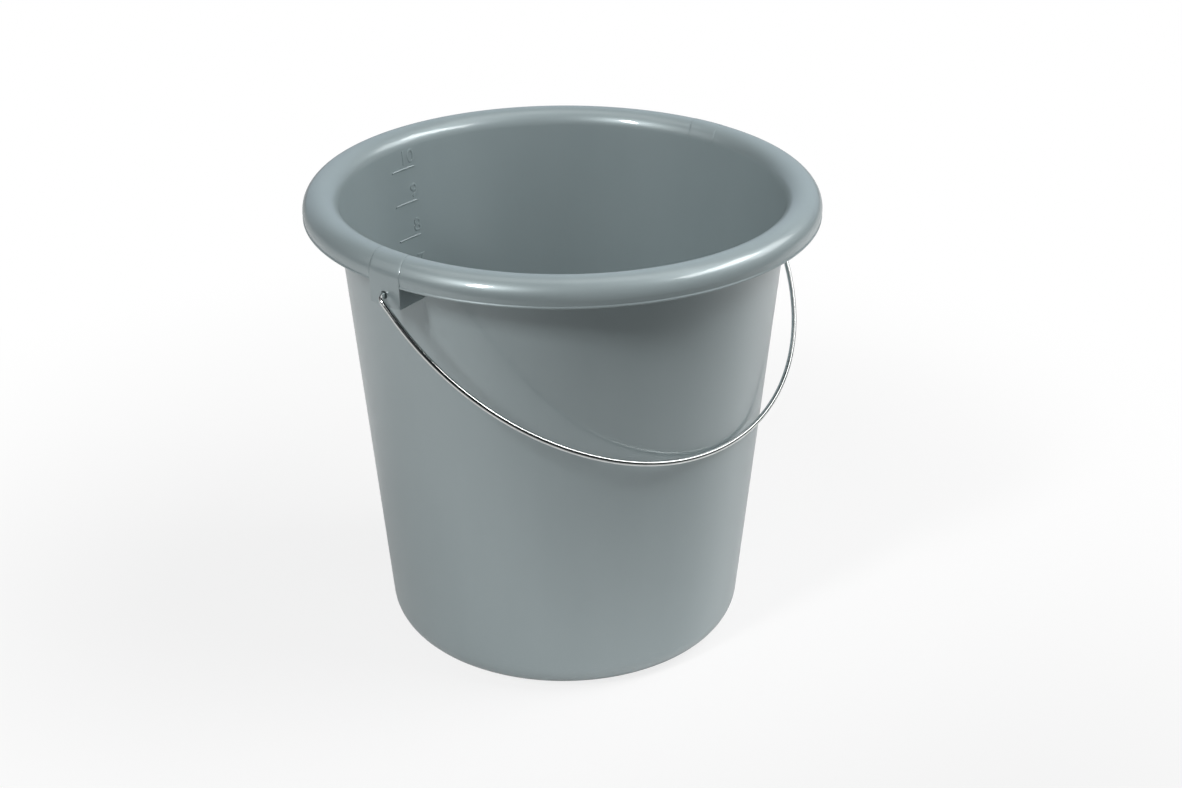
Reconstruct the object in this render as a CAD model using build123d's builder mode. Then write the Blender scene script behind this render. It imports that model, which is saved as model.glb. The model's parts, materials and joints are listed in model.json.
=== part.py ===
from build123d import *
import math
import os

# A ten litre plastic bucket: one moulded bucket and one bent wire bail, in millimetres.
# The origin is on the ground under the bucket's axis and +Z is up. +X runs from ear to ear,
# the bail hangs down on the -Y side, and the litre scale is inside the wall at +Y.

# Wall and rim
bucket_height = 271.0        # ground to the crest of the rim
base_radius = 103.2          # outside of the wall, drawn down to the ground
wall_draft = 5.1             # degrees from the vertical
wall_thickness = 1.8
rim_roll_radius = 10.1       # outside of the half-round rim
skirt_length = 3.9           # straight skirt below the half round
skirt_edge_radius = 0.7

# Foot and floor
foot_corner_radius = 17.0    # outside of the rounded bottom edge
foot_ring_width = 11.0       # flat ring that the bucket stands on
floor_slope_width = 6.0      # from the foot ring in to the raised floor
floor_rise = 3.0             # underside of the raised floor above the ground
floor_bend_radius = 2.5
gate_radius = 1.6            # moulding gate left in the middle of the underside
gate_drop = 1.0

# Ears that hold the bail, one at each end of the X axis
ear_width = 21.3
ear_drop = 11.7              # below the edge of the skirt
ear_plate_thickness = 2.4
ear_web_thickness = 1.8
ear_step = 0.2               # the ear's skin stands proud of the rim, between two parting lines
ear_skin_turn = 165.0        # degrees of the half round that the ear's skin covers
pivot_rise = 6.2             # pivot above the lower edge of the ear
pad_step = 0.3               # flat pad on the wall under each ear
pad_drop = 24.0              # pad below the lower edge of the ear

# Wire bail
wire_radius = 1.5
hole_clearance = 0.7         # wire in the ear's hole, radially
leg_clearance = 6.0          # wire leg to the outside of the ear
leg_length = 12.9            # pivot axis to the start of the bow
shoulder_turn = 40.0         # degrees of the bow that the tighter arc at each end takes up
bow_spread = 14.8            # radius of the bow's middle arc, over that of its shoulders
wire_bend_radius = 4.0       # middle of the wire at the two bends of each end
tail_length = 7.0            # hooked tail behind the ear's plate, from the pivot axis
tail_clearance = 5.0         # tail to the back of the ear's plate
bail_slide = 3.6             # the loose bail lies this far towards the ear on the +X side
rest_clearance = 0.5         # bail at rest to the wall that it leans on

# Litre scale
litre = 1.0e6                # cubic millimetres
mark_length = 17.2
mark_height = 1.1
mark_relief = 0.5
mark_headroom = 7.0          # least distance from the top mark up to the rim's half round

# Values that follow from the sizes above
draft = math.radians(wall_draft)
slope = math.tan(draft)
half_wall = wall_thickness / 2


def wall_outside(height):
    return base_radius + height * slope


def wall_inside(height):
    return wall_outside(height) - wall_thickness / math.cos(draft)


def wall_middle(height):
    return wall_outside(height) - half_wall / math.cos(draft)


def radial_plane(azimuth):
    """Upright plane through the bucket's axis, its local X pointing out at this azimuth."""
    turn = math.radians(azimuth)
    return Plane(
        origin=(0, 0, 0),
        x_dir=(math.cos(turn), math.sin(turn), 0),
        z_dir=(math.sin(turn), -math.cos(turn), 0),
    )


roll_height = bucket_height - rim_roll_radius
roll_centre = wall_inside(roll_height) + rim_roll_radius / math.cos(draft)
roll_turn = 180 - wall_draft
rim_radius = roll_centre + rim_roll_radius
skirt_edge = roll_height - skirt_length

corner_centre = wall_outside(foot_corner_radius) - foot_corner_radius / math.cos(draft)
ring_inside = corner_centre - foot_ring_width
floor_radius = ring_inside - floor_slope_width
floor_shift = wall_thickness * math.tan(math.atan2(floor_rise, floor_slope_width) / 2)

ear_outside = rim_radius + ear_step
ear_bottom = skirt_edge - ear_drop
ear_turn = math.degrees(ear_width / rim_radius)
web_turn = math.degrees(ear_web_thickness / rim_radius)
pivot_height = ear_bottom + pivot_rise
hole_radius = wire_radius + hole_clearance

half_span = ear_outside + leg_clearance + wire_radius
shoulder = math.radians(shoulder_turn)
shoulder_radius = half_span - bow_spread * math.cos(shoulder)
bow_centre = leg_length - bow_spread * math.sin(shoulder)
bow_radius = shoulder_radius + bow_spread
bail_depth = bow_centre + bow_radius
tail_reach = ear_outside - ear_plate_thickness - tail_clearance - wire_radius
wall_reach = wall_outside(pivot_height) * math.cos(draft) + wire_radius + rest_clearance
rest_angle = math.asin(wall_reach / bail_depth) - draft

scale_top = roll_height - mark_headroom
mark_turn = math.degrees(mark_length / wall_inside(scale_top))


def litres_below(height):
    """Volume of the tapered inside from the ground up, which allows for the full wall's bulge."""
    cubes = wall_inside(height) ** 3 - wall_inside(0) ** 3
    return math.pi * cubes / (3 * slope) / litre


def height_of(litres):
    """Height inside the bucket that this many litres reach."""
    cube = wall_inside(0) ** 3 + 3 * slope * litres * litre / math.pi
    return (cube ** (1 / 3) - wall_inside(0)) / slope


# Bucket: wall, floor, rim, ears and litre scale in one moulding
with BuildPart() as bucket:
    with BuildSketch(Plane.XZ):
        with BuildLine():
            FilletPolyline(
                (0, floor_rise),
                (floor_radius, floor_rise),
                (ring_inside, 0),
                (corner_centre, 0),
                radius=floor_bend_radius,
            )
            FilletPolyline(
                (0, floor_rise + wall_thickness),
                (floor_radius + floor_shift, floor_rise + wall_thickness),
                (ring_inside + floor_shift, wall_thickness),
                (corner_centre, wall_thickness),
                radius=floor_bend_radius,
            )
            Line((0, floor_rise), (0, floor_rise + wall_thickness))
            corner = (corner_centre, foot_corner_radius)
            corner_out = CenterArc(corner, foot_corner_radius, -90, 90 - wall_draft)
            corner_in = CenterArc(corner, foot_corner_radius - wall_thickness, -90, 90 - wall_draft)
            roll = (roll_centre, roll_height)
            roll_out = CenterArc(roll, rim_roll_radius, 0, roll_turn)
            roll_in = CenterArc(roll, rim_roll_radius - wall_thickness, 0, roll_turn)
            Line(corner_out @ 1, roll_in @ 1)
            Line(corner_in @ 1, roll_out @ 1)
            FilletPolyline(
                roll_in @ 0,
                (rim_radius - wall_thickness, skirt_edge),
                (rim_radius, skirt_edge),
                roll_out @ 0,
                radius=min(skirt_edge_radius, 0.45 * wall_thickness),
            )
        make_face()
    revolve(axis=Axis.Z)

    with Locations((0, 0, floor_rise + half_wall)):
        Cylinder(gate_radius, half_wall + gate_drop, align=(Align.CENTER, Align.CENTER, Align.MAX))

    for ear_azimuth in (0, 180):
        ear_start = ear_azimuth - ear_turn / 2

        # Front plate of the ear and the skin that carries it up over the rim
        with BuildSketch(radial_plane(ear_start)):
            with BuildLine():
                skin_out = CenterArc(roll, rim_roll_radius + ear_step, 0, ear_skin_turn)
                skin_in = CenterArc(roll, rim_roll_radius - half_wall, 0, ear_skin_turn)
                Line(skin_out @ 1, skin_in @ 1)
                Polyline(
                    skin_out @ 0,
                    (ear_outside, ear_bottom),
                    (ear_outside - ear_plate_thickness, ear_bottom),
                    (ear_outside - ear_plate_thickness, roll_height),
                    skin_in @ 0,
                )
            make_face()
        revolve(axis=Axis.Z, revolution_arc=ear_turn)

        # Side webs of the ear, from the plate back to the wall
        for web_start in (ear_start, ear_start + ear_turn - web_turn):
            with BuildSketch(radial_plane(web_start)):
                with BuildLine():
                    web_top = CenterArc(roll, rim_roll_radius - half_wall, 0, roll_turn)
                    Polyline(
                        web_top @ 0,
                        (rim_radius - half_wall, ear_bottom),
                        (wall_middle(ear_bottom), ear_bottom),
                        web_top @ 1,
                    )
                make_face()
            revolve(axis=Axis.Z, revolution_arc=web_turn)

        # Shallow pad on the wall, inside the ear and below it
        pad_bottom = ear_bottom - pad_drop
        pad_out = pad_step / math.cos(draft)
        with BuildSketch(radial_plane(ear_start)):
            with BuildLine():
                Polyline(
                    (wall_middle(pad_bottom), pad_bottom),
                    (wall_outside(pad_bottom) + pad_out, pad_bottom),
                    (wall_outside(pivot_height) + pad_out, pivot_height),
                    (wall_middle(pivot_height), pivot_height),
                    close=True,
                )
            make_face()
        revolve(axis=Axis.Z, revolution_arc=ear_turn)

        # Pivot hole through the plate alone
        plate = radial_plane(ear_azimuth)
        with Locations(Plane(plate.from_local_coords((ear_outside, pivot_height)), z_dir=plate.x_dir)):
            Hole(hole_radius, depth=ear_plate_thickness + tail_clearance)

    # Litre marks inside the wall, as many as fit under the rim
    for litres in range(1, int(litres_below(scale_top)) + 1):
        low = height_of(litres) - mark_height / 2
        high = height_of(litres) + mark_height / 2
        with BuildSketch(radial_plane(90 - mark_turn / 2)):
            with BuildLine():
                Polyline(
                    (wall_middle(low), low),
                    (wall_inside(low) - mark_relief, low),
                    (wall_inside(high) - mark_relief, high),
                    (wall_middle(high), high),
                    close=True,
                )
            make_face()
        revolve(axis=Axis.Z, revolution_arc=mark_turn)

# Wire bail: hooked tails in the ears, straight legs and a bow of three arcs, leaning on the wall
bail_down = Vector(0, -math.sin(rest_angle), -math.cos(rest_angle))
bail_plane = Plane(
    origin=(bail_slide, 0, pivot_height),
    x_dir=(1, 0, 0),
    z_dir=Vector(1, 0, 0).cross(bail_down),
)
with BuildPart() as wire_bail:
    with BuildLine(bail_plane) as wire_path:
        ends = []
        for side in (-1, 1):
            ends.append(
                FilletPolyline(
                    (side * tail_reach, tail_length),
                    (side * tail_reach, 0),
                    (side * half_span, 0),
                    (side * half_span, leg_length),
                    radius=wire_bend_radius,
                )
            )
        CenterArc((half_span - shoulder_radius, leg_length), shoulder_radius, 0, shoulder_turn)
        CenterArc((0, bow_centre), bow_radius, shoulder_turn, 180 - 2 * shoulder_turn)
        CenterArc((shoulder_radius - half_span, leg_length), shoulder_radius, 180 - shoulder_turn, shoulder_turn)
    with BuildSketch(Plane(ends[0] @ 0, z_dir=ends[0] % 0)):
        Circle(wire_radius)
    sweep(path=wire_path.wires()[0])

os.makedirs("parts", exist_ok=True)
for label, piece in (("bucket", bucket), ("wire_bail", wire_bail)):
    piece.part.label = label
    export_step(piece.part, f"parts/{label}.step")

half_swing = math.degrees(rest_angle)
print("rim diameter", round(2 * rim_radius, 2), "pivot height", round(pivot_height, 2))
print("bail half span", round(half_span, 2), "depth", round(bail_depth, 2))
print("bail leans", round(half_swing, 2), "degrees out, full swing", round(360 - 2 * half_swing, 2))
print("litre marks at", [round(height_of(n), 1) for n in range(1, int(litres_below(scale_top)) + 1)])
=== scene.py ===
import bmesh
import bpy
import json
import math
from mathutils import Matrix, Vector

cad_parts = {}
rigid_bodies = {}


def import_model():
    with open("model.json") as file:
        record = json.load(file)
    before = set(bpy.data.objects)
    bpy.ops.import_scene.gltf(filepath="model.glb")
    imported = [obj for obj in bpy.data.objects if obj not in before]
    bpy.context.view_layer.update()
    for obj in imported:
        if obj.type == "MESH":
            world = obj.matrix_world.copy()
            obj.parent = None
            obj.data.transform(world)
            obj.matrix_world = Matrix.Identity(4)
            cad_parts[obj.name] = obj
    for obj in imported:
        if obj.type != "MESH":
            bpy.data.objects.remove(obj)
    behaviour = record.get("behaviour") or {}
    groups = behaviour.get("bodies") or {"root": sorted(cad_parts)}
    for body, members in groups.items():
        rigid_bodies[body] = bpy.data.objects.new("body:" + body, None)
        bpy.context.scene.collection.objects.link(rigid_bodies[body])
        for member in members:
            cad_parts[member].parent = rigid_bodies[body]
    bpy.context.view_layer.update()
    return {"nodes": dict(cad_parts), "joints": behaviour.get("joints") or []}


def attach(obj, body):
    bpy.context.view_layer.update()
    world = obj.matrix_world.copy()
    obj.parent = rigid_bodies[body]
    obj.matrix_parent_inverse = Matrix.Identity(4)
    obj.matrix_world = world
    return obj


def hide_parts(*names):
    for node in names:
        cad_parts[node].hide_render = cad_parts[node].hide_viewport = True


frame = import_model()
pivot = Vector(frame["joints"][0]["pos_m"])
print("frame loaded with", ", ".join(sorted(frame["nodes"])))


class Link:
    # one socket of a node tree; sums on it add Math nodes
    def __init__(self, tree, socket=None):
        self.tree = tree
        self.socket = socket

    def node(self, kind, settings=None, inputs=None, out=0):
        made = self.tree.nodes.new(kind)
        for name, value in (settings or {}).items():
            if name == "stops":
                fillRamp(made.color_ramp, value)
            else:
                setattr(made, name, value)
        for name, value in (inputs or {}).items():
            if isinstance(value, Link):
                self.tree.links.new(value.socket, made.inputs[name])
            else:
                made.inputs[name].default_value = value
        return Link(self.tree, made.outputs[out])

    def maths(self, operation, first, second):
        return self.node("ShaderNodeMath", {"operation": operation}, {0: first, 1: second})

    def __add__(self, other):
        return self.maths("ADD", self, other)

    def __radd__(self, other):
        return self.maths("ADD", other, self)

    def __sub__(self, other):
        return self.maths("SUBTRACT", self, other)

    def __rsub__(self, other):
        return self.maths("SUBTRACT", other, self)

    def __mul__(self, other):
        return self.maths("MULTIPLY", self, other)

    def __rmul__(self, other):
        return self.maths("MULTIPLY", other, self)

    def into(self, node, name):
        self.tree.links.new(self.socket, node.inputs[name])


def fillRamp(ramp, stops):
    while len(ramp.elements) < len(stops):
        ramp.elements.new(1.0)
    for element, (place, level) in zip(ramp.elements, stops):
        element.position = place
        element.color = (level, level, level, 1.0)


def newMaterial(name):
    made = bpy.data.materials.new(name)
    made.use_nodes = True
    return made, Link(made.node_tree), made.node_tree.nodes["Principled BSDF"]


def noise(add, place, scale, detail):
    return add.node("ShaderNodeTexNoise", None, {"Vector": place, "Scale": scale, "Detail": detail})


def stretched(add, place, scale):
    return add.node("ShaderNodeMapping", None, {"Vector": place, "Scale": scale})


def spread(add, value, start, full, kind="LINEAR"):
    # 0 at start, 1 at full
    return add.node("ShaderNodeMapRange", {"interpolation_type": kind}, {"Value": value, 1: start, 2: full})


def mixed(add, share, first, second):
    # colours, given as (r, g, b) or as links
    ends = [end if isinstance(end, Link) else (*end, 1.0) for end in (first, second)]
    return add.node("ShaderNodeMix", {"data_type": "RGBA"}, {0: share, 6: ends[0], 7: ends[1]}, out=2)


def bumped(add, height):
    # height in metres
    relief = {"Height": height, "Distance": 1.0, "Strength": 1.0}
    return add.node("ShaderNodeBump", None, relief, out="Normal")


# Finishes

plasticLook = {
    "colour": (0.330, 0.392, 0.405),
    "deepColour": (0.305, 0.366, 0.379),
    "metallic": 0.25,
    "roughness": 0.4,
    "coat": 0.46,
    "coatIndex": 1.8,
    "coatRoughness": 0.06,
    "roughnessSpread": 0.08,
    "flowScale": 22.0,         # pigment flow streaks, across the flow
    "flowStretch": 0.16,       # and along it
    "patchScale": 9.0,
    "peelScale": 1500.0,       # fine satin texture of the mould
    "peelDepth": 0.000012,
    "waveScale": 14.0,         # slow waviness of the thin wall
    "waveDepth": 0.00022,
    "scuffTop": 0.022,         # height that ground scuffs reach
    "scuffStretch": (60, 60, 700),
    "scuffScale": 4.0,
    "scuffBand": ((0.56, 0.0), (0.68, 1.0)),
    "scuffColour": (0.55, 0.6, 0.6),
    "scuffShare": 0.35,
    "scuffRoughness": 0.12,
    "scuffDepth": 0.00003,
    "scuffCoat": 0.3,          # gloss that a scuff takes away
}


def satinPlastic(look):
    material, add, shader = newMaterial("satinPlastic")
    place = add.node("ShaderNodeTexCoord", out="Object")
    flow = noise(add, stretched(add, place, (1, 1, look["flowStretch"])), look["flowScale"], 5.0)
    patch = noise(add, place, look["patchScale"], 3.0)
    peel = noise(add, place, look["peelScale"], 2.0)
    wave = noise(add, place, look["waveScale"], 1.0)
    height = add.node("ShaderNodeSeparateXYZ", None, {"Vector": place}, out="Z")
    low = spread(add, height, look["scuffTop"], 0.0)
    scratch = noise(add, stretched(add, place, look["scuffStretch"]), look["scuffScale"], 4.0)
    scuff = low * add.node("ShaderNodeValToRGB", {"stops": look["scuffBand"]}, {"Fac": scratch})
    tone = spread(add, 0.6 * flow + 0.4 * patch, 0.35, 0.65)
    colour = mixed(add, tone, look["deepColour"], look["colour"])
    mixed(add, look["scuffShare"] * scuff, colour, look["scuffColour"]).into(shader, "Base Color")
    plain = look["roughness"] - look["roughnessSpread"] / 2
    rough = plain + look["roughnessSpread"] * patch + look["scuffRoughness"] * scuff
    rough.into(shader, "Roughness")
    relief = look["peelDepth"] * peel + look["waveDepth"] * wave - look["scuffDepth"] * scuff
    bumped(add, relief).into(shader, "Normal")
    (look["coat"] - look["scuffCoat"] * scuff).into(shader, "Coat Weight")
    shader.inputs["Metallic"].default_value = look["metallic"]
    shader.inputs["Coat Roughness"].default_value = look["coatRoughness"]
    shader.inputs["Coat IOR"].default_value = look["coatIndex"]
    return material


wireLook = {
    "colour": (0.80, 0.82, 0.81),
    "dullColour": (0.66, 0.69, 0.68),
    "roughness": 0.12,
    "roughnessSpread": 0.08,
    "streakScale": 5.0,        # drawing lines round the wire
    "streakRun": 8.0,          # and along it
    "spangleScale": 220.0,     # zinc crystals
    "streakDepth": 0.000004,
}


def galvanisedWire(look):
    material, add, shader = newMaterial("galvanisedWire")
    along = add.node("ShaderNodeAttribute", {"attribute_name": "along"}, out="Fac")
    around = add.node("ShaderNodeAttribute", {"attribute_name": "around"}, out="Fac")
    lines = add.node("ShaderNodeCombineXYZ", None, {
        "X": look["streakRun"] * along,
        "Y": look["streakScale"] * around,
    })
    streak = noise(add, lines, 6.0, 4.0)
    place = add.node("ShaderNodeTexCoord", out="Object")
    cells = {"Vector": place, "Scale": look["spangleScale"]}
    spangle = add.node("ShaderNodeTexVoronoi", None, cells, out="Color")
    crystal = add.node("ShaderNodeSeparateColor", None, {"Color": spangle}, out=0)
    dull = spread(add, 0.6 * streak + 0.4 * crystal, 0.3, 0.8)
    mixed(add, dull, look["colour"], look["dullColour"]).into(shader, "Base Color")
    (look["roughness"] + look["roughnessSpread"] * dull).into(shader, "Roughness")
    bumped(add, look["streakDepth"] * streak).into(shader, "Normal")
    shader.inputs["Metallic"].default_value = 1.0
    return material


plastic = satinPlastic(plasticLook)
zinc = galvanisedWire(wireLook)
print("finishes made")

# Outlines, as (radius, height) in metres


def arc(centre, radius, startAngle, endAngle, steps):
    points = []
    for step in range(steps + 1):
        angle = math.radians(startAngle + (endAngle - startAngle) * step / steps)
        points.append((centre[0] + radius * math.cos(angle), centre[1] + radius * math.sin(angle)))
    return points


def rounded(corners, steps=10):
    # corners are (x, y, radius); a radius of 0 keeps the corner sharp
    points = []
    for index, (x, y, radius) in enumerate(corners):
        here = Vector((x, y))
        if radius == 0:
            points.append((x, y))
            continue
        toLast = (Vector(corners[index - 1][:2]) - here).normalized()
        toNext = (Vector(corners[index + 1][:2]) - here).normalized()
        half = toLast.angle(toNext) / 2
        centre = here + (toLast + toNext).normalized() * (radius / math.sin(half))
        first = here + toLast * (radius / math.tan(half)) - centre
        last = here + toNext * (radius / math.tan(half)) - centre
        turn = first.angle_signed(last)
        for step in range(steps + 1):
            angle = math.atan2(first.y, first.x) - turn * step / steps
            points.append((centre.x + radius * math.cos(angle), centre.y + radius * math.sin(angle)))
    return points


def cleaned(points):
    kept = [points[0]]
    for point in points[1:]:
        if math.dist(point, kept[-1]) > 1e-6:
            kept.append(point)
    return kept


bucketSize = {
    "height": 0.271,
    "baseRadius": 0.1032,      # outside of the wall, drawn down to the ground
    "draft": math.radians(5.1),
    "wall": 0.0018,
    "rollRadius": 0.0101,
    "skirt": 0.0039,
    "skirtEdge": 0.0007,
    "lip": 0.0014,             # height of the lip along the skirt's lower edge
    "lipStep": 0.0004,         # and how far the skirt above draws in to it
    "footCorner": 0.017,
    "footRing": 0.011,
    "floorSlope": 0.006,
    "floorRise": 0.003,
    "floorBend": 0.0025,
    "gateRadius": 0.0016,
    "gateDrop": 0.001,
    "gateEdge": 0.0003,
    "around": 288,
    "rollSteps": 40,
    "wallRings": 20,           # rings of vertices up the plain wall
}

draft = bucketSize["draft"]
wall = bucketSize["wall"]
rollRadius = bucketSize["rollRadius"]


def wallOutside(height):
    return bucketSize["baseRadius"] + height * math.tan(draft)


def wallInside(height):
    return wallOutside(height) - wall / math.cos(draft)


def wallMiddle(height):
    return (wallOutside(height) + wallInside(height)) / 2


rollHeight = bucketSize["height"] - rollRadius
rollCentre = wallInside(rollHeight) + rollRadius / math.cos(draft)
roll = (rollCentre, rollHeight)
rollTurn = 180 - math.degrees(draft)
rimRadius = rollCentre + rollRadius
skirtBottom = rollHeight - bucketSize["skirt"]


def bucketSection(size):
    rise = size["floorRise"]
    corner = size["footCorner"]
    ringInside = wallOutside(corner) - corner / math.cos(draft) - size["footRing"]
    floorRadius = ringInside - size["floorSlope"]
    shift = wall * math.tan(math.atan2(rise, size["floorSlope"]) / 2)
    bend = size["floorBend"]
    edge = size["skirtEdge"]
    rollUnder = arc(roll, rollRadius - wall, rollTurn, 0, 24)
    rollOver = arc(roll, rollRadius, 0, rollTurn, size["rollSteps"])
    gate = rise - size["gateDrop"]
    rings = size["wallRings"]
    levels = [2 * corner + (rollHeight - 3 * corner) * step / rings for step in range(rings)]
    underside = rounded([
        (0, gate, 0),
        (size["gateRadius"], gate, size["gateEdge"]),
        (size["gateRadius"], rise, size["gateEdge"]),
        (floorRadius / 2, rise, 0),
        (floorRadius, rise, bend),
        (ringInside, 0, bend),
        (wallOutside(0), 0, corner),
        *((wallOutside(level), level, 0) for level in levels),
        (*rollUnder[0], 0),
    ])
    skirt = rounded([
        (*rollUnder[-1], 0),
        (rimRadius - wall, skirtBottom, edge),
        (rimRadius, skirtBottom, edge / 2),
        (rimRadius, skirtBottom + size["lip"] / 2, edge / 2),
        (rimRadius - size["lipStep"], skirtBottom + size["lip"], edge / 2),
        (*rollOver[0], 0),
    ], 6)
    inside = rounded([
        (*rollOver[-1], 0),
        *((wallInside(level), level, 0) for level in reversed(levels)),
        (wallInside(wall), wall, corner - wall),
        (ringInside + shift, wall, bend),
        (floorRadius + shift, rise + wall, bend),
        (floorRadius / 2, rise + wall, 0),
        (0, rise + wall, 0),
    ])
    return cleaned(underside + rollUnder + skirt + rollOver + inside)


# Node trees that turn a section about the axis, sweep a wire and repeat the litre marks


def newTree(name, inputs):
    tree = bpy.data.node_groups.new(name, "GeometryNodeTree")
    for label, kind in inputs:
        tree.interface.new_socket(label, in_out="INPUT", socket_type="NodeSocket" + kind)
    tree.interface.new_socket("Result", in_out="OUTPUT", socket_type="NodeSocketGeometry")
    entry = tree.nodes.new("NodeGroupInput")
    return tree, {label: Link(tree, entry.outputs[label]) for label, kind in inputs}


def endTree(tree, shape, material):
    whole = shape.node("GeometryNodeRealizeInstances", None, {"Geometry": shape})
    coated = shape.node("GeometryNodeSetMaterial", None, {"Geometry": whole, "Material": material})
    coated.into(tree.nodes.new("NodeGroupOutput"), "Result")


def swept(add, path, profile):
    ends = {"Curve": path, "Profile Curve": profile, "Fill Caps": True}
    return add.node("GeometryNodeCurveToMesh", None, ends)


def stored(add, shape, name, value):
    # keeps a field as a named attribute
    kept = {"Geometry": shape, "Name": name, "Value": value}
    return add.node("GeometryNodeStoreNamedAttribute", None, kept)


def circle(add, sides, radius):
    return add.node("GeometryNodeCurvePrimitiveCircle", None, {"Resolution": sides, "Radius": radius})


def turnedTree():
    tree, given = newTree("turnedSection", (
        ("Section", "Geometry"),
        ("Around", "Int"),
        ("Rail Radius", "Float"),
        ("Start", "Float"),
        ("Turn", "Float"),
        ("Full Turn", "Bool"),
        ("Material", "Material"),
    ))
    add = Link(tree)
    section = add.node("GeometryNodeMeshToCurve", None, {"Mesh": given["Section"]})
    ring = circle(add, given["Around"], given["Rail Radius"])
    steps = {"Resolution": given["Around"], "Radius": given["Rail Radius"]}
    turn = {"Start Angle": given["Start"], "Sweep Angle": given["Turn"]}
    bow = add.node("GeometryNodeCurveArc", None, {**steps, **turn})
    either = {0: given["Full Turn"], 1: bow, 2: ring}
    rail = add.node("GeometryNodeSwitch", {"input_type": "GEOMETRY"}, either)
    skin = swept(add, rail, section)
    sealed = add.node("GeometryNodeMergeByDistance", None, {"Geometry": skin, "Distance": 0.000002})
    endTree(tree, sealed, given["Material"])
    return tree


def wireTree():
    tree, given = newTree("bentWire", (
        ("Path", "Geometry"),
        ("Radius", "Float"),
        ("Sides", "Int"),
        ("Material", "Material"),
    ))
    add = Link(tree)
    path = add.node("GeometryNodeMeshToCurve", None, {"Mesh": given["Path"]})
    along = add.node("GeometryNodeSplineParameter", out="Length")
    path = stored(add, path, "along", along)
    ring = circle(add, given["Sides"], given["Radius"])
    around = add.node("GeometryNodeSplineParameter", out="Factor")
    ring = stored(add, ring, "around", add.maths("PINGPONG", 2.0 * around, 1.0))
    endTree(tree, swept(add, path, ring), given["Material"])
    return tree


def markTree():
    tree, given = newTree("litreMarks", (
        ("Heights", "Geometry"),
        ("Turn", "Float"),
        ("Relief", "Float"),
        ("Thickness", "Float"),
        ("Steps", "Int"),
        ("Material", "Material"),
    ))
    add = Link(tree)
    bow = add.node("GeometryNodeCurveArc", None, {
        "Resolution": given["Steps"],
        "Radius": 1.0,
        "Start Angle": math.pi / 2 - 0.5 * given["Turn"],
        "Sweep Angle": given["Turn"],
    })
    flat = add.node("ShaderNodeCombineXYZ", None, {"X": given["Relief"], "Y": given["Thickness"], "Z": 1.0})
    oval = add.node("GeometryNodeTransform", None, {"Geometry": circle(add, 14, 1.0), "Scale": flat})
    bar = swept(add, bow, oval)
    reachHere = add.node("GeometryNodeInputNamedAttribute", None, {"Name": "reach"})
    level = add.node("ShaderNodeCombineXYZ", None, {"X": reachHere, "Y": reachHere, "Z": reachHere})
    marks = add.node("GeometryNodeInstanceOnPoints", None, {
        "Points": given["Heights"],
        "Instance": bar,
        "Scale": level,
    })
    endTree(tree, marks, given["Material"])
    return tree


def newPiece(name, points, edges=()):
    mesh = bpy.data.meshes.new(name)
    mesh.from_pydata([tuple(point) for point in points], list(edges), [])
    piece = bpy.data.objects.new(name, mesh)
    bpy.context.scene.collection.objects.link(piece)
    return piece


def runTree(piece, tree, values):
    modifier = piece.modifiers.new(tree.name, "NODES")
    modifier.node_group = tree
    for socket in tree.interface.items_tree:
        if socket.in_out == "INPUT" and socket.name in values:
            modifier[socket.identifier] = values[socket.name]


def settle(piece):
    # bakes the modifiers into a plain mesh
    evaluated = piece.evaluated_get(bpy.context.evaluated_depsgraph_get())
    mesh = bpy.data.meshes.new_from_object(evaluated)
    piece.modifiers.clear()
    old = piece.data
    piece.data = mesh
    bpy.data.meshes.remove(old)
    return piece


def drop(piece):
    mesh = piece.data
    bpy.data.objects.remove(piece)
    bpy.data.meshes.remove(mesh)


turned = turnedTree()
bentWire = wireTree()
litreMarks = markTree()
print("node trees made")


def turnSection(name, section, startAngle=0.0, turn=360.0, around=24):
    # a section is a closed outline, or for a full turn an open one with both ends on the axis
    full = turn == 360.0
    rail = 0.1 if full else sum(point[0] for point in section) / len(section)
    count = len(section)
    edges = [(index, index + 1) for index in range(count - 1)]
    if not full:
        edges.append((count - 1, 0))
    # taken backwards, so that the faces point out
    piece = newPiece(name, [(radius - rail, -height, 0) for radius, height in reversed(section)], edges)
    runTree(piece, turned, {
        "Around": around,
        "Rail Radius": rail,
        "Start": math.radians(startAngle),
        "Turn": math.radians(turn),
        "Full Turn": full,
        "Material": plastic,
    })
    return settle(piece)


def merge(piece, tool, operation):
    modifier = piece.modifiers.new(operation, "BOOLEAN")
    modifier.operation = operation
    modifier.solver = "MANIFOLD"
    modifier.object = tool
    settle(piece)
    drop(tool)


# Bucket body with its two ears

earSize = {
    "width": 0.0213,
    "drop": 0.0117,            # below the edge of the skirt
    "plate": 0.0024,
    "web": 0.0018,
    "webInset": 0.00006,       # webs stand this far inside the plate's edges
    "step": 0.00012,           # skin proud of the rim between the parting lines
    "skinTurn": 165.0,
    "skinFade": 60.0,          # degrees over which the skin runs out into the rim
    "groove": 0.00035,         # width of the parting lines
    "grooveDepth": 0.00014,
    "grooveOver": 0.0006,      # the tool that cuts them stands this far off the rim
    "grooveFoot": 0.0004,      # and reaches this far below it
    "slant": 0.27,             # how far the parting lines lean from straight out
    "padStep": 0.0003,
    "padDrop": 0.024,
    "padRamp": 0.0012,         # the pad runs out into the wall over this
    "padSpread": 0.0013,       # and is this much wider to each side at its foot
    "padSink": 1 / 6,          # share of its step that its edges sink into the wall
    "holeRadius": 0.0022,
    "drillBack": 0.004,        # the hole's tool starts this far behind the plate
    "drillLength": 0.012,
    "soften": 0.0003,          # rounding of the ear's edges
    "around": 14,
    "skinSteps": 36,
}


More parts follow.
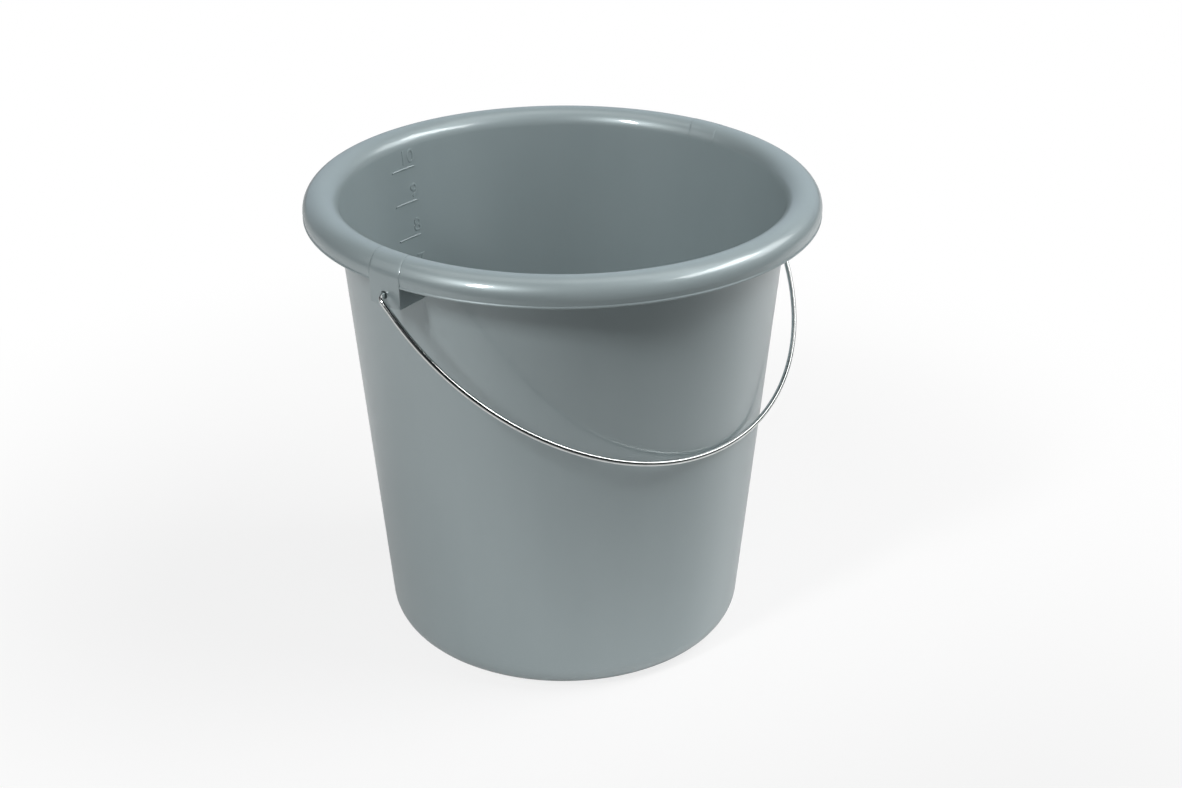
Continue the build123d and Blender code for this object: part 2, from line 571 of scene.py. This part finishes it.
def earSections(size):
    # (name, section, share of the ear's width from, to)
    outside = rimRadius + size["step"]
    inside = outside - size["plate"]
    bottom = skirtBottom - size["drop"]
    steps = size["skinSteps"]
    over = []
    for step in range(steps + 1):
        left = size["skinTurn"] * (steps - step) / steps
        proud = min(1.0, 1.3 * left / size["skinFade"] - 0.3)
        angle = math.radians(size["skinTurn"] - left)
        reach = rollRadius + proud * size["step"]
        over.append((rollCentre + reach * math.cos(angle), rollHeight + reach * math.sin(angle)))
    under = arc(roll, rollRadius - wall / 2, size["skinTurn"], 0, steps)
    plate = over + under + [(inside, rollHeight), (inside, bottom), (outside, bottom)]
    top = arc(roll, rollRadius - wall / 2, 0, rollTurn, 24)
    webBottom = bottom + size["webInset"]
    web = top + [(wallMiddle(webBottom), webBottom), (rimRadius - wall / 2, webBottom)]
    padBottom = bottom - size["padDrop"]
    padOut = size["padStep"] / math.cos(draft)
    padFull = padBottom + size["padRamp"]
    pad = [
        (wallMiddle(padBottom), padBottom),
        (wallOutside(padBottom) - padOut * size["padSink"], padBottom),
        (wallOutside(padFull) + padOut, padFull),
        (wallOutside(pivot.z) + padOut, pivot.z),
        (wallMiddle(pivot.z), pivot.z),
    ]
    inset = size["webInset"] / size["width"]
    share = size["web"] / size["width"]
    return (
        ("earPlate", plate, 0.0, 1.0),
        ("earWebLeft", web, inset, share),
        ("earWebRight", web, 1.0 - share, 1.0 - inset),
        ("earPad", pad, 0.0, 1.0),
    )


def soften(piece, width):
    bevel = piece.modifiers.new("soften", "BEVEL")
    bevel.width = width
    bevel.segments = 2
    bevel.limit_method = "ANGLE"
    bevel.angle_limit = math.radians(50)
    settle(piece)


def grooveSection(size):
    off = size["grooveOver"]
    depth = size["grooveDepth"]
    over = arc(roll, rollRadius + off, 0, rollTurn, size["skinSteps"])
    under = arc(roll, rollRadius - depth, rollTurn, 0, size["skinSteps"])
    foot = skirtBottom - size["grooveFoot"]
    return over + under + [(rimRadius - depth, foot), (rimRadius + off, foot)]


def slantSkin(piece, size):
    # turns the skin over the rim more and more towards its inner end
    for vertex in piece.data.vertices:
        reach = math.hypot(vertex.co.x, vertex.co.y)
        if vertex.co.z > rollHeight:
            inwards = (rimRadius + size["step"] - reach) / reach
            turn = math.atan2(vertex.co.y, vertex.co.x) - size["slant"] * inwards
            vertex.co = (reach * math.cos(turn), reach * math.sin(turn), vertex.co.z)


def fadePad(piece, azimuth, size):
    # lets the pad run out into the wall at its sides and spreads it towards its foot
    middle = math.radians(azimuth)
    half = size["width"] / rimRadius / 2
    top = skirtBottom - size["drop"]
    for vertex in piece.data.vertices:
        reach = math.hypot(vertex.co.x, vertex.co.y)
        across = math.cos(middle) * vertex.co.y - math.sin(middle) * vertex.co.x
        turn = math.asin(across / reach)
        proud = reach - wallOutside(vertex.co.z)
        if abs(turn) > half - 0.001 and proud > 0:
            reach -= proud * (1 + size["padSink"])
        below = max(0.0, (top - vertex.co.z) / size["padDrop"])
        turn += math.copysign(size["padSpread"] * below / rimRadius, turn) * abs(turn) / half
        vertex.co = (reach * math.cos(middle + turn), reach * math.sin(middle + turn), vertex.co.z)


def pivotDrill(azimuth, size):
    # round bar through the ear's plate alone
    reach = rimRadius + size["step"] - size["plate"] - size["drillBack"]
    angle = math.radians(azimuth)
    along = Vector((math.cos(angle), math.sin(angle), 0))
    ends = [pivot + along * reach, pivot + along * (reach + size["drillLength"])]
    path = newPiece("pivotDrill", ends, [(0, 1)])
    runTree(path, bentWire, {"Radius": size["holeRadius"], "Sides": 40, "Material": plastic})
    return settle(path)


def makeBucket():
    body = turnSection("bucketBody", bucketSection(bucketSize), around=bucketSize["around"])
    earTurn = math.degrees(earSize["width"] / rimRadius)
    for azimuth in (0.0, 180.0):
        for name, section, start, end in earSections(earSize):
            first = azimuth + (start - 0.5) * earTurn
            part = turnSection(name, section, first, (end - start) * earTurn, earSize["around"])
            if name == "earPlate":
                slantSkin(part, earSize)
            if name == "earPad":
                fadePad(part, azimuth, earSize)
            else:
                soften(part, earSize["soften"])
            merge(body, part, "UNION")
        merge(body, pivotDrill(azimuth, earSize), "DIFFERENCE")
        grooveTurn = math.degrees(earSize["groove"] / rimRadius)
        for side in (-0.5, 0.5):
            first = azimuth + side * earTurn - grooveTurn / 2
            groove = turnSection("partingLine", grooveSection(earSize), first, grooveTurn, 2)
            slantSkin(groove, earSize)
            merge(body, groove, "DIFFERENCE")
    body.data.shade_smooth()
    body.data.set_sharp_from_angle(angle=math.radians(32))
    return body


bucketBody = makeBucket()
print("bucket body:", len(bucketBody.data.polygons), "faces")

# Litre scale

scaleSize = {
    "markLength": 0.0172,
    "markThickness": 0.0011,
    "markRelief": 0.0005,
    "headroom": 0.007,         # from the top mark up to the rim's half round
    "numeralHeight": 0.0088,
    "numeralGap": 0.0026,      # from the mark up to the foot of its numeral
    "numeralReach": 0.0105,    # right-hand edge of the numerals, seen from inside
    "numeralRelief": 0.00021,
    "numeralEdge": 0.00008,
    "sink": 0.0003,            # relief bedded into the wall
    "figureShare": 0.73,       # height of a figure in the font, for a size of 1
}
cubicMetre = 1000.0            # litres


def litreHeight(litres):
    cube = wallInside(0) ** 3 + 3 * math.tan(draft) * litres / cubicMetre / math.pi
    return (cube ** (1 / 3) - wallInside(0)) / math.tan(draft)


def markHeights():
    heights = []
    while litreHeight(len(heights) + 1) < rollHeight - scaleSize["headroom"]:
        heights.append(litreHeight(len(heights) + 1))
    return heights


def makeMarks(heights):
    marks = newPiece("litreMarks", [(0, 0, height) for height in heights])
    reach = marks.data.attributes.new("reach", "FLOAT", "POINT")
    reach.data.foreach_set("value", [wallInside(height) for height in heights])
    middle = wallInside(heights[len(heights) // 2])
    runTree(marks, litreMarks, {
        "Turn": scaleSize["markLength"] / middle,
        "Relief": scaleSize["markRelief"] / middle,
        "Thickness": scaleSize["markThickness"] / 2 / middle,
        "Steps": 12,
        "Material": plastic,
    })
    return settle(marks)


def makeNumeral(number, height):
    text = bpy.data.curves.new("numeral", "FONT")
    text.body = str(number)
    text.size = scaleSize["numeralHeight"] / scaleSize["figureShare"]
    text.align_x = "RIGHT"
    text.extrude = (scaleSize["numeralRelief"] + scaleSize["sink"]) / 2
    text.bevel_depth = scaleSize["numeralEdge"]
    text.bevel_resolution = 1
    holder = bpy.data.objects.new("numeral", text)
    bpy.context.scene.collection.objects.link(holder)
    evaluated = holder.evaluated_get(bpy.context.evaluated_depsgraph_get())
    mesh = bpy.data.meshes.new_from_object(evaluated)
    bpy.data.objects.remove(holder)
    bpy.data.curves.remove(text)
    foot = height + scaleSize["numeralGap"]
    for vertex in mesh.vertices:
        z = foot + vertex.co.y * math.cos(draft)
        lift = vertex.co.z + (scaleSize["numeralRelief"] - scaleSize["sink"]) / 2
        radius = wallInside(z) - lift
        angle = math.pi / 2 - (vertex.co.x + scaleSize["numeralReach"]) / wallInside(z)
        vertex.co = (radius * math.cos(angle), radius * math.sin(angle), z)
    mesh.materials.clear()
    mesh.materials.append(plastic)
    numeral = bpy.data.objects.new(f"numeral{number}", mesh)
    bpy.context.scene.collection.objects.link(numeral)
    return numeral


def closeSeams(piece):
    sewn = bmesh.new()
    sewn.from_mesh(piece.data)
    bmesh.ops.remove_doubles(sewn, verts=sewn.verts, dist=0.000001)
    sewn.to_mesh(piece.data)
    sewn.free()


heights = markHeights()
scale = makeMarks(heights)
numerals = [makeNumeral(index + 1, height) for index, height in enumerate(heights)]
with bpy.context.temp_override(active_object=scale, selected_editable_objects=[scale, *numerals]):
    bpy.ops.object.join()
closeSeams(scale)
scale.name = "litreScale"
scale.data.shade_smooth()
scale.data.set_sharp_from_angle(angle=math.radians(35))
print("litre scale:", len(heights), "marks")

# Wire bail

bailSize = {
    "wireRadius": 0.0015,
    "legClearance": 0.006,     # leg to the outside of the ear
    "leg": 0.0129,             # pivot axis to the start of the bow
    "shoulderTurn": 40.0,      # degrees of the bow that the tighter arc at each end takes up
    "bowSpread": 0.0148,       # radius of the bow's middle arc, over that of its shoulders
    "bend": 0.004,
    "tail": 0.007,
    "tailClearance": 0.005,    # tail to the back of the ear's plate
    "slide": 0.0036,           # the loose bail lies towards the far ear
    "restGap": 0.0005,
    "sides": 28,
    "bowSteps": 100,
    "shoulderSteps": 40,
    "bendSteps": 10,
}


def bailPath(size):
    earOutside = rimRadius + earSize["step"]
    wire = size["wireRadius"]
    span = earOutside + size["legClearance"] + wire
    turn = size["shoulderTurn"]
    shoulder = span - size["bowSpread"] * math.cos(math.radians(turn))
    bowCentre = size["leg"] - size["bowSpread"] * math.sin(math.radians(turn))
    bowRadius = shoulder + size["bowSpread"]
    depth = bowCentre + bowRadius
    tail = earOutside - earSize["plate"] - size["tailClearance"] - wire
    reach = wallOutside(pivot.z) * math.cos(draft) + wire + size["restGap"]
    lean = math.asin(reach / depth) - draft
    down = Vector((0, -math.sin(lean), -math.cos(lean)))
    end = rounded([
        (tail, size["tail"], 0),
        (tail, 0, size["bend"]),
        (span, 0, size["bend"]),
        (span, size["leg"], 0),
    ], size["bendSteps"])
    side = end + arc((span - shoulder, size["leg"]), shoulder, 0, turn, size["shoulderSteps"])
    bow = arc((0, bowCentre), bowRadius, turn, 180 - turn, size["bowSteps"])
    flat = cleaned(side + bow + [(-x, y) for x, y in reversed(side)])
    return [pivot + Vector((x + size["slide"], 0, 0)) + down * y for x, y in flat]


def makeBail():
    path = bailPath(bailSize)
    wire = newPiece("bailWire", path, [(index, index + 1) for index in range(len(path) - 1)])
    runTree(wire, bentWire, {"Radius": bailSize["wireRadius"], "Sides": bailSize["sides"], "Material": zinc})
    settle(wire)
    wire.data.shade_smooth()
    wire.data.set_sharp_from_angle(angle=math.radians(50))
    return wire


bailWire = makeBail()
print("bail wire:", len(bailWire.data.polygons), "faces")

for piece, body, slot, node in (
    (bucketBody, "bucket", "bucket_plastic", "bucket"),
    (scale, "bucket", "bucket_plastic", None),
    (bailWire, "wire_bail", "bail_wire", "wire_bail"),
):
    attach(piece, body)
    if node:
        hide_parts(node)

# Camera, floor and light

cameraView = {
    "azimuth": -50.7,          # degrees round the bucket, as seen from above
    "distance": 1.0548,        # level distance from the axis
    "height": 0.6587,
    "pitch": 26.24,            # degrees down
    "yaw": 0.86,               # degrees to the right
    "focalPixels": 2000.0,
    "imageWidth": 1182.0,
    "sensor": 36.0,
}


def makeCamera(view):
    turn = math.radians(view["azimuth"])
    data = bpy.data.cameras.new("camera")
    data.sensor_width = view["sensor"]
    data.lens = view["sensor"] * view["focalPixels"] / view["imageWidth"]
    camera = bpy.data.objects.new("camera", data)
    camera.location = (math.sin(turn) * view["distance"], -math.cos(turn) * view["distance"], view["height"])
    camera.rotation_euler = (math.radians(90 - view["pitch"]), 0, turn - math.radians(view["yaw"]))
    bpy.context.scene.collection.objects.link(camera)
    bpy.context.scene.camera = camera


studio = {
    "floorSize": 12.0,
    # the floor's colour is a painted pool of lamp light: pale near the bucket, fading to painted dark ahead
    # of it
    "paintedPoolColour": 0.75,
    "paintedPoolFront": 298.0,       # azimuth that the fading edge of the painted pool of light faces
    "paintedPoolEdge": (0.02, 0.58),  # the painted pool of light fades into painted dark between these
    "paintedDarkColour": 0.03,
    "floorGlow": 0.8,          # share of plain white in what the camera sees of the floor's painted pool of light
    "shadowReach": (0.25, 0.6),  # and it is all white beyond these
    "paintedPoolMirror": 0.1,        # share of plain white in what reflections show of the painted pool of light
    "worldLevel": 0.02,
    "backdropLevel": 0.52,     # pale backdrop behind the bucket, in reflections
    "backdropTint": (0.86, 1.0, 1.12),
    "backdropEdge": (0.5, 0.95),  # fades in between these, towards straight back
    "backdropRise": 5.0,       # degrees up to the middle of the backdrop
    # azimuth from the camera's right hand, anticlockwise from above,
    # then elevation, distance, width, height and watts
    "lamps": {
        "left": (229.7, 41, 3.5, 0.42, 0.79, 61.0),
        "leftSide": (200, 32, 2.2, 1.8, 1.2, 3.2),
        "right": (4, 44, 2.0, 0.75, 0.42, 8.5),
        "rightNext": (-20, 45, 2.0, 0.55, 0.4, 5.0),
        "rightFar": (17, 33, 2.0, 0.95, 0.55, 4.4),
        "rightWide": (-4, 60, 2.0, 1.2, 0.9, 16.0),
        "rightLow": (-4, 27, 2.2, 1.2, 0.6, 3.5),
        "front": (302, 14, 2.4, 3.0, 1.0, 7.0),
        "top": (90, 82, 2.2, 2.6, 1.0, 6.0),
    },
    "lampAim": 0.15,           # height that the lamps point at
    "fills": ("rightWide", "rightLow", "front"),  # stay out of reflections
}


def seenBy(add):
    # what the camera sees, and what metal and gloss mirror
    direct = add.node("ShaderNodeLightPath", out="Is Camera Ray")
    glossy = add.node("ShaderNodeLightPath", out="Is Glossy Ray")
    through = add.node("ShaderNodeLightPath", out="Is Transmission Ray")
    return direct, add.maths("MAXIMUM", glossy, through)


def fromCamera(azimuth, elevation):
    # direction, by the azimuth from the camera's right hand
    turn = math.radians(azimuth + cameraView["azimuth"])
    rise = math.radians(elevation)
    return Vector((math.cos(turn) * math.cos(rise), math.sin(turn) * math.cos(rise), math.sin(rise)))


def fade(add, place, direction, start, full):
    # 0 to 1 along a direction
    both = {0: place, 1: direction}
    along = add.node("ShaderNodeVectorMath", {"operation": "DOT_PRODUCT"}, both, out="Value")
    return spread(add, along, start, full, "SMOOTHSTEP")


def makeFloor(size):
    half = size["floorSize"] / 2
    mesh = bpy.data.meshes.new("floor")
    corners = [(-half, -half, 0), (half, -half, 0), (half, half, 0), (-half, half, 0)]
    mesh.from_pydata(corners, [], [(0, 1, 2, 3)])
    floor = bpy.data.objects.new("floor", mesh)
    bpy.context.scene.collection.objects.link(floor)
    material, add, shader = newMaterial("paleFloor")
    place = add.node("ShaderNodeTexCoord", out="Object")
    # painted pool of lamp light: the floor's colour fades from pale near the bucket to painted dark ahead of
    # it
    full, end = size["paintedPoolEdge"]
    paintedPool = fade(add, place, fromCamera(size["paintedPoolFront"], 0), end, full)
    (size["paintedDarkColour"] + (size["paintedPoolColour"] - size["paintedDarkColour"]) * paintedPool).into(shader, "Base Color")
    shader.inputs["Roughness"].default_value = 0.9
    glow = add.node("ShaderNodeEmission", None, {"Color": (1, 1, 1, 1), "Strength": 1.0})
    direct, mirrored = seenBy(add)
    reach = add.node("ShaderNodeVectorMath", {"operation": "LENGTH"}, {0: place}, out="Value")
    near, far = size["shadowReach"]
    shadow = spread(add, reach, far, near, "SMOOTHSTEP")
    blend = add.node("ShaderNodeMixShader", None, {
        0: (1.0 - (1.0 - size["floorGlow"]) * shadow) * direct + size["paintedPoolMirror"] * paintedPool * mirrored,
        1: Link(add.tree, shader.outputs[0]),
        2: glow,
    })
    blend.into(material.node_tree.nodes["Material Output"], "Surface")
    mesh.materials.append(material)


def makeWorld(size):
    world = bpy.data.worlds.new("studio")
    world.use_nodes = True
    add = Link(world.node_tree)
    direct, mirrored = seenBy(add)
    ahead = add.node("ShaderNodeTexCoord", out="Generated")
    backdrop = fade(add, ahead, fromCamera(90, size["backdropRise"]), *size["backdropEdge"])
    background = world.node_tree.nodes["Background"]
    plain = direct * (1.0 - size["worldLevel"]) + size["worldLevel"]
    (plain + size["backdropLevel"] * backdrop * mirrored).into(background, "Strength")
    mixed(add, mirrored, (1.0, 1.0, 1.0), size["backdropTint"]).into(background, "Color")
    bpy.context.scene.world = world


def makeLamps(size):
    middle = Vector((0, 0, size["lampAim"]))
    for name, (azimuth, elevation, distance, width, tall, power) in size["lamps"].items():
        away = fromCamera(azimuth, elevation)
        data = bpy.data.lights.new(name, "AREA")
        data.shape = "RECTANGLE"
        data.size = width
        data.size_y = tall
        data.energy = power
        lamp = bpy.data.objects.new(name, data)
        lamp.location = middle + away * distance
        lamp.rotation_mode = "QUATERNION"
        lamp.rotation_quaternion = away.to_track_quat("Z", "Y")
        lamp.visible_glossy = name not in size["fills"]
        bpy.context.scene.collection.objects.link(lamp)


makeCamera(cameraView)
makeFloor(studio)
makeWorld(studio)
makeLamps(studio)
bpy.context.scene.view_settings.view_transform = "Standard"
print("camera, floor and light made")
